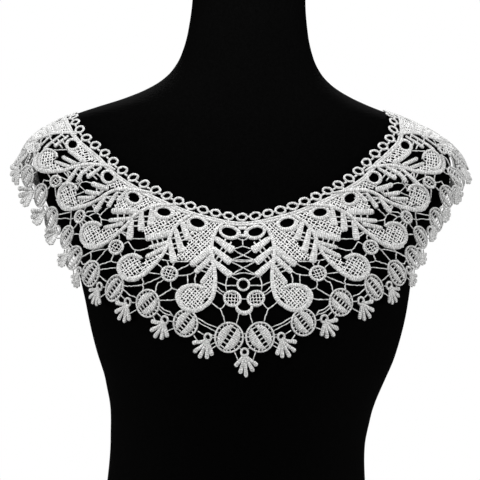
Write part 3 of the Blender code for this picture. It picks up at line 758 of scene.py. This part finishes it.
def rimBand(inner, outer, start, stop, spacing=1.4):
    # a padded rim between two ellipses, from one angle to another (clockwise, 0 = along)
    number = max(12, int(math.radians(stop - start) * (outer[2] + outer[3]) / 2 / spacing))
    angle = np.radians(np.linspace(start, stop, number))
    circle = np.stack([np.cos(angle), np.sin(angle)], -1)
    return (np.array(inner[:2]) + circle * inner[2:], np.array(outer[:2]) + circle * outer[2:])


def sewDrops():
    # three ribbed leaves, a tail and a round head of net, and a padded rim round the head
    for unit in everyUnit(ground["drops"]):
        at = unit["at"]
        sewBars(unit, unit["leaves"], lambda bars: [], ground["leaf"], ground["leafWide"])
        x, y, rx, ry = unit["head"]
        net = netThreads(at, ovalCurve(x, y, rx + 0.6, ry + 0.6, spacing=3))
        net += netThreads(at, np.array(unit["tail"]),
                          besides=[ovalCurve(x, y, rx - 0.4, ry - 0.4, spacing=3)])
        sewNet(upToBack(net))
        inner, outer = rimBand(unit["head"], unit["rim"], *unit["arc"])
        middle = np.array(unit["rim"][:2])
        outer = middle + (outer - middle) * (1 + chance.uniform(-0.02, 0.02, (len(outer), 1)))
        pair = (chartSpots(at, inner), chartSpots(at, outer))
        if upToBack([pair[1]]):
            sewBands([pair], 2.3, lift=0.25)


def turned(points, lean):
    # points turned about the origin, clockwise on the chart
    points = np.asarray(points, float)
    return np.stack([points[..., 0] * math.cos(lean) - points[..., 1] * math.sin(lean),
                     points[..., 0] * math.sin(lean) + points[..., 1] * math.cos(lean)], -1)


def sewEyelets():
    # a padded oval rim round an open hole, in a field of net
    for unit in everyUnit(ground["eyelets"]):
        at = unit["at"]
        middle = np.array(unit["rim"][:2])
        lean = math.radians(unit.get("turn", 0))
        inner, outer = [middle + turned(edge - middle, lean)
                        for edge in rimBand(unit["hole"], unit["rim"], 0, 360)]
        pair = (chartSpots(at, inner[:-1]), chartSpots(at, outer[:-1]))
        if upToBack([pair[0]]):
            sewBands([pair], 2.2, lift=0.2, closed=True)
        if unit["field"]:
            sewNet(upToBack(netThreads(at, np.array(unit["field"]),
                                       besides=[outer * 0.9 + 0.1 * middle])))


def sewPlaids():
    # a ring of satin round a square net
    g = ground
    for unit in everyUnit([dict(at=row[0], place=row[1:]) for row in g["plaids"]]):
        x, y, rx, ry = unit["place"]
        ring = chartSpots(unit["at"], ovalCurve(x, y, rx - 1.4, ry - 1.4))
        if upToBack([ring]):
            sewBoth([ring], g["plaidRing"], 2.0, closed=True, finish=satinFinish, lift=0.1)
            net = netThreads(unit["at"], ovalCurve(x, y, rx - 2.2, ry - 2.2, spacing=3),
                             turn=g["plaidLean"], pitch=g["plaidPitch"])
            sewBoth(net, g["plaidThread"], 0.8, sides=4, finish=netFinish)


def sewBrides():
    # single threads through listed points, their ends drawn to the nearest thread
    listed = [dict(at=at, path=path) for at, paths in ground["brides"] for path in paths]
    paths = [chartSpots(unit["at"], softCurve(unit["path"], 2.6)) for unit in everyUnit(listed)]
    paths = [waver(path, ground["brideWaver"]) for path in tieEnds(upToBack(paths))]
    sewBoth(paths, [thread["bride"] * chance.uniform(*ground["brideUneven"], len(path))
                    for path in paths], 1.15, sides=4)


sewSprigs()
sewDrops()
sewEyelets()
sewPlaids()
print("sprigs, drops, eyelets and plaid rings sewn")

# The border of ovals and fans.
borderEdge = dict(
    # along in loops, out in mm, half width, half height, turn in degrees
    ovals=[(0.65, 117, 13.8, 14.8, -31), (2.42, 110, 12.8, 13.4, -31),
           (3.93, 102, 13, 13.6, -34), (5.5, 103, 10, 14, -20), (7.05, 103, 10, 14, -12),
           (8.75, 100, 9.2, 13.6, -12), (10.05, 88, 7.4, 13, -8), (11.8, 89, 9, 13.4, -8),
           (13.3, 78, 8.6, 13, -8), (14.8, 74, 8.6, 12.8, -8)],
    repeat=1.725,
    repeatOut=0.67,         # share of the depth at which the hidden ovals lie
    rim=1.9,                # thickness of an oval's rim
    leafInset=(3.6, 2.3),   # mm from the rim's outside to the leaf, sideways and up
    slit=1.9,               # half width of the slit between an oval's two leaves
    fullWide=12.0,          # half width from which insets and slits are full
    slitBars=6, slitBar=2.5,            # bars across the slit, half their length
    # bars from leaf to rim, degrees clockwise from sideways; the hidden back has half
    spokes=(-66, -50, -28, -7, 14, 35, 54, 70, 114, 130, 152, 173, 194, 215, 234, 250),
    bar=1.5,
    # fingers of a fan: degrees from straight out, share of the fan's length
    middleFingers=[(-45, 0.68), (-15, 0.87), (5, 1.0), (32, 0.86), (57, 0.75)],
    fingers=[(-25, 0.8), (-2, 0.93), (24, 1.0), (49, 0.93), (82, 0.74)],
    finger=4.9, tie=1.3, eye=3.7, eyeCord=2.3,
    samples=14,             # points along a finger
    room=34,                # mm between two ovals at which a fan spreads fully
    below=6.4, middleBelow=14,          # mm from the ovals' middles to a fan's eye
    eyeMost=0.845,          # share of the depth past which no eye lies
    # over the arms the fans start higher, are shorter, spread more, have thicker fingers
    # and stand off at the wearer's left and right: mm, mm, share, share, mm
    armsFrom=(8, 11), armsTo=(26, 21),  # loops where this starts and is full, at both ends
    sideHigher=4, sideShorter=14, sideWider=0.22, sideThicker=0.35, sideOff=(1, 9),
    offTo=(16.5, 14.5), offLeast=0.1,   # loops where standing off ends and is full, share
    leftShorter=2,          # mm by which fans at the wearer's left are shorter still
)


def borderOvals():
    # the listed ovals, then the last one again at every repeat up to the centre back
    found = list(borderEdge["ovals"])
    while found[-1][0] + borderEdge["repeat"] < collar["halfLoops"]:
        along = found[-1][0] + borderEdge["repeat"]
        found.append((along, borderEdge["repeatOut"] * float(depthAt(along))) + found[-1][2:])
    return found


def halfLeaf(side, rx, ry, slit, lean):
    # half an oval's leaf: one edge along the slit, the other along the oval
    y = np.sin(np.linspace(-1.42, 1.42, 17)) * ry
    rimEdge = side * np.sqrt(np.maximum(0, 1 - (y / ry) ** 2)) * rx
    rimEdge = np.where(abs(rimEdge) > slit + 0.4, rimEdge, side * (slit + 0.4))
    return [turned(np.stack([x, y], -1), lean) for x in (np.full(y.shape, side * slit), rimEdge)]


def sewOvals(ovals):
    # a rim of cord, two ribbed leaves with a slit between them, bars across the slit and
    # from the leaves to the rim
    b = borderEdge
    for along, out, rx, ry, turn in ovals:
        wide = float(loopWidth(along, out))
        lean = math.radians(turn)

        def place(points):
            return np.stack([along + points[:, 0] / wide, out + points[:, 1]], -1)

        rim = ovalCurve(0, 0, rx - 0.9, ry - 0.9, turn * 0.5)
        sewBoth([place(rim)], b["rim"], 1.9, closed=True)
        slim = min(1.0, rx / b["fullWide"])
        inset, insetUp = b["leafInset"]
        pairs = [[place(edge) for edge in halfLeaf(side, rx - inset * slim, ry - insetUp,
                                                   b["slit"] * slim, lean)] for side in (-1, 1)]
        sewBands(pairs, 1.9, finish=ribbedFinish)
        bars = [turned([(-b["slitBar"], y), (b["slitBar"], y)], lean)
                for y in np.linspace(-(ry - 4.2), ry - 4.2, b["slitBars"])]
        for angle in b["spokes"][::2 if along > collar["seam"] else 1]:
            angle = math.radians(angle) + lean
            spoke = np.array([math.cos(angle), math.sin(angle)])
            bars.append(np.array([spoke * (rx - inset, ry - inset), spoke * (rx - 1, ry - 1)]))
        sewBoth([place(bar) for bar in bars], b["bar"], 1.1, sides=4)


def rimToward(oval, point):
    # where the line from an oval's middle to the point crosses its rim, in mm
    middle, radii = np.array(oval[:2]), np.array(oval[2:])
    reach = np.asarray(point, float) - middle
    return middle + reach / np.linalg.norm(reach / radii)


def sewFans(ovals):
    # between two ovals five fingers spread from an eye; a finger bends from its own turn
    # and widens to its tip; ties run from the eye and the outer fingers to the ovals
    b = borderEdge
    half = float(collar["halfLoops"])
    first, last = (-ovals[0][0],) + ovals[0][1:], (2 * half - ovals[-1][0],) + ovals[-1][1:]
    t = np.linspace(0.1, 0.985, b["samples"])
    curl = np.minimum(1, 0.6 + t * 0.5)
    shape = (0.42 + 0.58 * t), np.minimum(1, 0.5 + (0.985 - t) * 9)
    for left, right in zip([first] + ovals, ovals + [last]):
        middle = left is first or right is last
        along = 0.0 if left is first else half if right is last else (left[0] + right[0]) / 2
        depth = float(depthAt(along))
        side = ramp(along, *b["armsFrom"]) * ramp(along, *b["armsTo"])
        centre = (left[1] + right[1]) / 2 + (b["middleBelow"] if middle else b["below"])
        centre = min(b["eyeMost"] * depth, centre) - b["sideHigher"] * side
        reach = depth - centre - b["sideShorter"] * side
        wide = float(loopWidth(along, centre + reach / 2))
        room = min(1.0, wide / b["room"] + b["sideWider"] * side)

        def place(points):
            return np.stack([along + points[:, 0] / wide, centre + points[:, 1]], -1)

        paths, widths, tips = [], [], []
        for turn, share in b["middleFingers"] if middle else b["fingers"]:
            bend = math.radians(turn) * room
            path = np.stack([np.sin(bend * curl), np.cos(bend * curl)], -1) \
                * (reach * share * t)[:, None]
            tips.append(path[8])
            paths.append(place(path))
            widths.append(roughen(b["finger"] * min(1.0, 0.55 + 0.5 * room)
                                  * (1 + b["sideThicker"] * side) * shape[0] * shape[1]))
        ties = []
        for oval, tip in ((left, tips[0]), (right, tips[-1])):
            oval = ((oval[0] - along) * wide, oval[1] - centre) + tuple(oval[2:4])
            end = rimToward(oval, np.zeros(2))
            start = end / np.linalg.norm(end) * min(b["eye"], np.linalg.norm(end))
            ties += [place(np.array([start, end])), place(np.array([tip, rimToward(oval, tip)]))]
        sewEither = sew if middle else sewBoth
        sewEither(ties, b["tie"], 1.1, sides=4)
        spot = np.array([along, centre])
        for way, most in zip((1,) if middle else (1, -1), b["sideOff"]):
            off = most * side * max(b["offLeast"], ramp(along, *b["offTo"])) \
                * np.linspace(0, 1, b["samples"]) ** 1.5
            less = 1 - (b["leftShorter"] * side / reach if way > 0 else 0)
            sew([(spot + (path - spot) * less) * (way, 1) for path in paths], widths, 1.9,
                sides=8, finish=satinFinish, lift=[off] * len(paths))
        eye = place(ovalCurve(0, 0, b["eye"] * min(1.0, 0.6 + 0.4 * room), b["eye"]))
        sewEither([eye], b["eyeCord"], 1.9, closed=True, lift=0.1)


def sewBorder():
    # the ovals first, then the fans between them
    ovals = borderOvals()
    sewOvals(ovals)
    sewFans(ovals)


sewBorder()
sewBrides()
print("border and brides sewn")


def sheetColour(code):
    # sRGB hex -> linear
    parts = [int(code[i:i + 2], 16) / 255 for i in (0, 2, 4)]
    return tuple(c / 12.92 if c <= 0.04045 else ((c + 0.055) / 1.055) ** 2.4
                 for c in parts) + (1.0,)


def addNode(tree, kind, settings=None, links=None):
    # a node with its settings, and links given as input name -> (node, output name)
    node = tree.nodes.new(kind)
    for name, value in (settings or {}).items():
        if isinstance(name, str) and hasattr(node, name):
            setattr(node, name, value)
        else:
            node.inputs[name].default_value = value
    for name, (source, socket) in (links or {}).items():
        tree.links.new(source.outputs[socket], node.inputs[name])
    return node


def newMaterial(name, sockets):
    # a material with plain numbers and colours on these sockets of its shader
    made = bpy.data.materials.new(name)
    made.use_nodes = True
    shader = made.node_tree.nodes["Principled BSDF"]
    for socket, value in sockets.items():
        shader.inputs[socket].default_value = value
    return made, made.node_tree, shader


# The lace is bleached rayon embroidery thread.
laceLooks = dict(
    thread="f4f4f3",        # a stitch's crown
    groove="8f8f8f",        # the shade between two stitches
    hollowShade="959595",        # painted shade in the dimples, where the relief is low
    speckle=1.6,            # mm, size of the dimples
    cloud=3.5,              # mm, size of the unevenness that disturbs the rows
    dimpleReliefAndShade=(0.34, 0.68),     # the stretch of the speckle's noise that is used, for the dimples' relief and their painted shade
    crown=0.9,              # height of the rows' wave from which a stitch is fully light
    rowRelief=0.55,         # height of the rows as a share of the dimples'
    relief=0.9, gloss=0.25, sheen=0.15,
)
# Its finishes, in the order of satinFinish and the others: mm from one stitch or wrap to the
# next, mm of relief, how dark the painted shade in the grooves is, radians that the rows lean
# round the thread, how strong the painted shade in the dimples is and how far the rows are
# disturbed.  Real satin stitches lie 0.4 mm apart, too fine to show, so they are drawn
# coarser.
threadFinishes = [
    # satin stitch, laid side by side across each motif: soft low gloss, ribbed
    dict(name="rayonSatinStitch", pitch=1.9, depth=0.35, shade=0.5, lean=0.0, rough=0.6,
         dimpleShade=0.8, shake=3.2),
    # rayon wrapped round a core thread: the wraps lie aslant and read as a fine twist
    dict(name="rayonWrappedCord", pitch=1.4, depth=0.3, shade=0.5, lean=2 * math.pi,
         rough=0.68, dimpleShade=0.8, shake=3.2),
    # machine net of single threads, knotted where they cross: dull and uneven
    dict(name="rayonNetThread", pitch=thread["netPitch"], depth=0.25, shade=0.15, lean=0.0,
         rough=0.75, dimpleShade=0.4, shake=3.2),
    # satin stitch over rows of padding, as on leaves: the rows show as cross ribs
    dict(name="rayonRibbedStitch", pitch=1.9, depth=0.5, shade=0.6, lean=0.0, rough=0.6,
         dimpleShade=0.8, shake=7.0),
]


def threadLooks(name, pitch, depth, shade, lean, rough, dimpleShade, shake):
    # rows of stitches across the run: a sine of (run in mm times 2 pi / pitch + lean times
    # the share round the thread + shake times slow noise), lower between two rows and darker
    # there with painted shade, times painted shade in the dimples of fine noise
    looks = laceLooks
    made, tree, shader = newMaterial(name, {
        "Roughness": rough, "Specular IOR Level": looks["gloss"], "Sheen Weight": looks["sheen"]})
    run = addNode(tree, "ShaderNodeUVMap", {"uv_map": "run"})
    parts = addNode(tree, "ShaderNodeSeparateXYZ", links={"Vector": (run, "UV")})
    place = addNode(tree, "ShaderNodeTexCoord")
    speckle = addNode(tree, "ShaderNodeTexNoise",
                      {"Scale": 1 / (looks["speckle"] * mm), "Detail": 2.0, "Roughness": 0.6},
                      {"Vector": (place, "Object")})
    cloud = addNode(tree, "ShaderNodeTexNoise",
                    {"Scale": 1 / (looks["cloud"] * mm), "Detail": 1.0},
                    {"Vector": (place, "Object")})
    leaned = addNode(tree, "ShaderNodeMath", {"operation": "MULTIPLY", 1: lean},
                     {0: (parts, "Y")})
    turn = addNode(tree, "ShaderNodeMath", {"operation": "MULTIPLY_ADD", 1: 2 * math.pi / pitch},
                   {0: (parts, "X"), 2: (leaned, 0)})
    shaken = addNode(tree, "ShaderNodeMath", {"operation": "MULTIPLY_ADD", 1: shake},
                     {0: (cloud, "Fac"), 2: (turn, 0)})
    wave = addNode(tree, "ShaderNodeMath", {"operation": "SINE"}, {0: (shaken, 0)})
    rows = addNode(tree, "ShaderNodeMapRange", {"From Min": -1.0, "From Max": looks["crown"]},
                   {"Value": (wave, 0)})
    least, most = looks["dimpleReliefAndShade"]
    dimpleReliefAndShade = addNode(tree, "ShaderNodeMapRange", {"From Min": least, "From Max": most},
                    {"Value": (speckle, "Fac")})
    height = addNode(tree, "ShaderNodeMath",
                     {"operation": "MULTIPLY_ADD", 1: looks["rowRelief"]},
                     {0: (rows, "Result"), 2: (dimpleReliefAndShade, "Result")})
    # painted shade: the grooves between two rows of stitches are drawn darker, following the
    # rows' wave
    shaded = addNode(tree, "ShaderNodeMapRange", {"To Min": 1.0 - shade},
                     {"Value": (rows, "Result")})
    grooveShadedStitches = addNode(tree, "ShaderNodeMix",
                       {"data_type": "RGBA", 6: sheetColour(looks["groove"]),
                        7: sheetColour(looks["thread"])}, {0: (shaded, "Result")})
    # painted shade: the dimples, where the relief is low, are drawn darker by the same noise that
    # lowers them
    shadeInDimples = addNode(tree, "ShaderNodeMix",
                   {"data_type": "RGBA", 6: sheetColour(looks["hollowShade"]), 7: (1, 1, 1, 1)},
                   {0: (dimpleReliefAndShade, "Result")})
    shadedStitchColour = addNode(tree, "ShaderNodeMix",
                      {"data_type": "RGBA", "blend_type": "MULTIPLY", 0: dimpleShade},
                      {6: (grooveShadedStitches, 2), 7: (shadeInDimples, 2)})
    relief = addNode(tree, "ShaderNodeBump",
                     {"Strength": looks["relief"], "Distance": depth * mm},
                     {"Height": (height, 0)})
    tree.links.new(shadedStitchColour.outputs[2], shader.inputs["Base Color"])
    tree.links.new(relief.outputs["Normal"], shader.inputs["Normal"])
    return made


def matteBlackShell():
    # a display form of moulded glass fibre under matte black paint: nearly no highlight,
    # and a slight orange peel made by noise
    made, tree, shader = newMaterial("mattePaintedShell",
                                     {"Roughness": 0.85, "Specular IOR Level": 0.01})
    place = addNode(tree, "ShaderNodeTexCoord")
    peel = addNode(tree, "ShaderNodeTexNoise", {"Scale": 1 / (form["peel"] * mm), "Detail": 2.0},
                   {"Vector": (place, "Object")})
    dark, light = [sheetColour(code) for code in form["paint"]]
    shade = addNode(tree, "ShaderNodeMix", {"data_type": "RGBA", 6: dark, 7: light},
                    {0: (peel, "Fac")})
    relief = addNode(tree, "ShaderNodeBump",
                     {"Strength": 0.2, "Distance": form["peelDepth"] * mm},
                     {"Height": (peel, "Fac")})
    tree.links.new(shade.outputs[2], shader.inputs["Base Color"])
    tree.links.new(relief.outputs["Normal"], shader.inputs["Normal"])
    return made


def makePiece(name, points, quads, uvs=None, finishes=None, materials=()):
    # a mesh of four-sided faces, from arrays in mm
    mesh = bpy.data.meshes.new(name)
    mesh.vertices.add(len(points))
    mesh.vertices.foreach_set("co", (points * mm).ravel())
    mesh.loops.add(quads.size)
    mesh.loops.foreach_set("vertex_index", quads.ravel())
    mesh.polygons.add(len(quads))
    mesh.polygons.foreach_set("loop_start", np.arange(len(quads)) * 4)
    mesh.polygons.foreach_set("loop_total", np.full(len(quads), 4))
    for item in materials:
        mesh.materials.append(item)
    if finishes is not None:
        mesh.polygons.foreach_set("material_index", finishes)
    mesh.update(calc_edges=True)
    mesh.validate()
    if uvs is not None:
        layer = mesh.uv_layers.new(name="run")
        layer.data.foreach_set("uv", uvs.ravel())
    mesh.polygons.foreach_set("use_smooth", np.ones(len(mesh.polygons), bool))
    made = bpy.data.objects.new(name, mesh)
    bpy.context.scene.collection.objects.link(made)
    return made


def makeForm():
    # level sections of the form, each leaned at its sides by lean times the sine's power,
    # closed below and above by smaller rings and a row of quads
    number = form["around"]
    angle = np.arange(number) * 2 * math.pi / number
    atSides = np.sin(angle)[:, None] ** form["leanPower"] * (1, 0, 0)
    rings = [formPoint(angle, np.full(angle.shape, high))
             + evenCurve(high, form["lean"]) * atSides
             for high in np.linspace(0, form["rows"][-1][0], form["levels"])]
    below, above = [[ring * (share, share, 1) for share in form["capShares"]]
                    for ring in (rings[0], rings[-1])]
    rings = below[::-1] + rings + above
    k = np.arange(number)
    after = (k + 1) % number
    row = np.arange(len(rings) - 1)[:, None] * number
    walls = np.stack([row + k, row + after, row + number + after, row + number + k],
                     -1).reshape(-1, 4)
    j = 2 * np.arange(number // 2 - 1)
    cap = np.stack([0 * j, j + 1, j + 2, j + 3], -1)
    quads = np.concatenate([walls, cap[:, ::-1], cap + (len(rings) - 1) * number])
    piece = makePiece("blackForm", np.concatenate(rings), quads, materials=[matteBlackShell()])
    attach(piece, "root")
    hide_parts("dress_form")


makeForm()
print("dress form made")

laceFinishes = [threadLooks(**finish) for finish in threadFinishes]
for side, name, node, cut in (("front", "laceFront", "lace_front", collar["flatFront"]),
                              ("back", "laceBack", "lace_back", collar["flatBack"])):
    bag = bags[side]
    piece = makePiece(name, np.concatenate(bag["points"]), np.concatenate(bag["quads"]),
                      np.concatenate(bag["uvs"]), np.concatenate(bag["finishes"]),
                      laceFinishes)
    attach(piece, "root")
    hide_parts(node)
    print(name, "has", 2 * len(piece.data.polygons), "triangles")

# Floor, light and camera, in metres and degrees.
studio = dict(
    floor=0.42,             # half width; past it all is as white as the backdrop
    paper="f4f4f2", paperGlow=0.1,
    keyAt=(-0.03, -0.3, 0.76), keySize=0.3, keyPower=3.3, keyTurn=25,
    # side and back lamps: degrees to the wearer's left, height, strength, softness
    lamps=[(-74, 2, 2.8, 30), (74, 2, 2.7, 30), (180, 40, 1.6, 20)],
    skyAbove=0.12, skyBelow=0.0,        # light from above and below
    horizon=(-0.25, 0.35),              # heights of a ray between which it changes
    cameraAt=(-0.0721, -1.9987, 0.313), yaw=2.0, roll=1.6, lens=150, sensor=36,
)


def makeFloor():
    # a square of pale paper
    side = studio["floor"] / mm
    floor = makePiece("studioFloor",
                      np.array([[-side, -side, 0], [side, -side, 0], [side, side, 0],
                                [-side, side, 0]]), np.array([[0, 1, 2, 3]]))
    floor.data.materials.append(newMaterial("palePaperFloor", {
        "Base Color": sheetColour(studio["paper"]), "Roughness": 0.9,
        "Emission Color": (1, 1, 1, 1), "Emission Strength": studio["paperGlow"]})[0])


def makeSky():
    # white where the camera looks past the piece; as light it grows with a ray's height
    world = bpy.data.worlds.new("softStudio")
    world.use_nodes = True
    tree = world.node_tree
    tree.nodes.clear()
    ray = addNode(tree, "ShaderNodeLightPath")
    way = addNode(tree, "ShaderNodeTexCoord")
    split = addNode(tree, "ShaderNodeSeparateXYZ", links={"Vector": (way, "Generated")})
    low, high = studio["horizon"]
    glow = addNode(tree, "ShaderNodeMapRange",
                   {"From Min": low, "From Max": high, "To Min": studio["skyBelow"],
                    "To Max": studio["skyAbove"]}, {"Value": (split, "Z")})
    seen = addNode(tree, "ShaderNodeBackground", {"Color": (1, 1, 1, 1), "Strength": 1.0})
    given = addNode(tree, "ShaderNodeBackground", {"Color": (1, 1, 1, 1)},
                    {"Strength": (glow, "Result")})
    mixed = addNode(tree, "ShaderNodeMixShader", links={
        0: (ray, "Is Camera Ray"), 1: (given, 0), 2: (seen, 0)})
    addNode(tree, "ShaderNodeOutputWorld", links={"Surface": (mixed, 0)})
    bpy.context.scene.world = world


def addLamp(name, light, turn, place=(0, 0, 0)):
    # a light as an object, turned by these angles
    lamp = bpy.data.objects.new(name, light)
    lamp.location = place
    lamp.rotation_euler = turn
    bpy.context.scene.collection.objects.link(lamp)


def makeLamps():
    # a round key above and before the piece, and wide suns from both sides and behind
    key = bpy.data.lights.new("softKey", "AREA")
    key.shape = "DISK"
    key.size = studio["keySize"]
    key.energy = studio["keyPower"]
    addLamp("softKey", key, (math.radians(studio["keyTurn"]), 0, 0), studio["keyAt"])
    for side, elevation, power, soft in studio["lamps"]:
        sun = bpy.data.lights.new("softSun", "SUN")
        sun.energy = power
        sun.angle = math.radians(soft)
        addLamp("softSun", sun, (math.radians(90 - elevation), 0, math.radians(side)))


def makeCamera():
    # level, turned by yaw round the upright, then by roll round its own line of sight
    yaw, roll = math.radians(studio["yaw"]), math.radians(studio["roll"])
    ahead = np.array([math.sin(yaw), math.cos(yaw), 0.0])
    level = np.array([math.cos(yaw), -math.sin(yaw), 0.0])
    upright = np.array([0.0, 0.0, 1.0])
    lens = bpy.data.cameras.new("studioCamera")
    lens.lens = studio["lens"]
    lens.sensor_width = studio["sensor"]
    lens.clip_end = 100
    camera = bpy.data.objects.new("studioCamera", lens)
    place = np.eye(4)
    place[:3, 0] = math.cos(roll) * level + math.sin(roll) * upright
    place[:3, 1] = -math.sin(roll) * level + math.cos(roll) * upright
    place[:3, 2] = -ahead
    place[:3, 3] = studio["cameraAt"]
    camera.matrix_world = Matrix(place.tolist())
    bpy.context.scene.collection.objects.link(camera)
    bpy.context.scene.camera = camera
    bpy.context.scene.view_settings.view_transform = "Standard"


makeFloor()
makeSky()
makeLamps()
makeCamera()
print("studio set up")
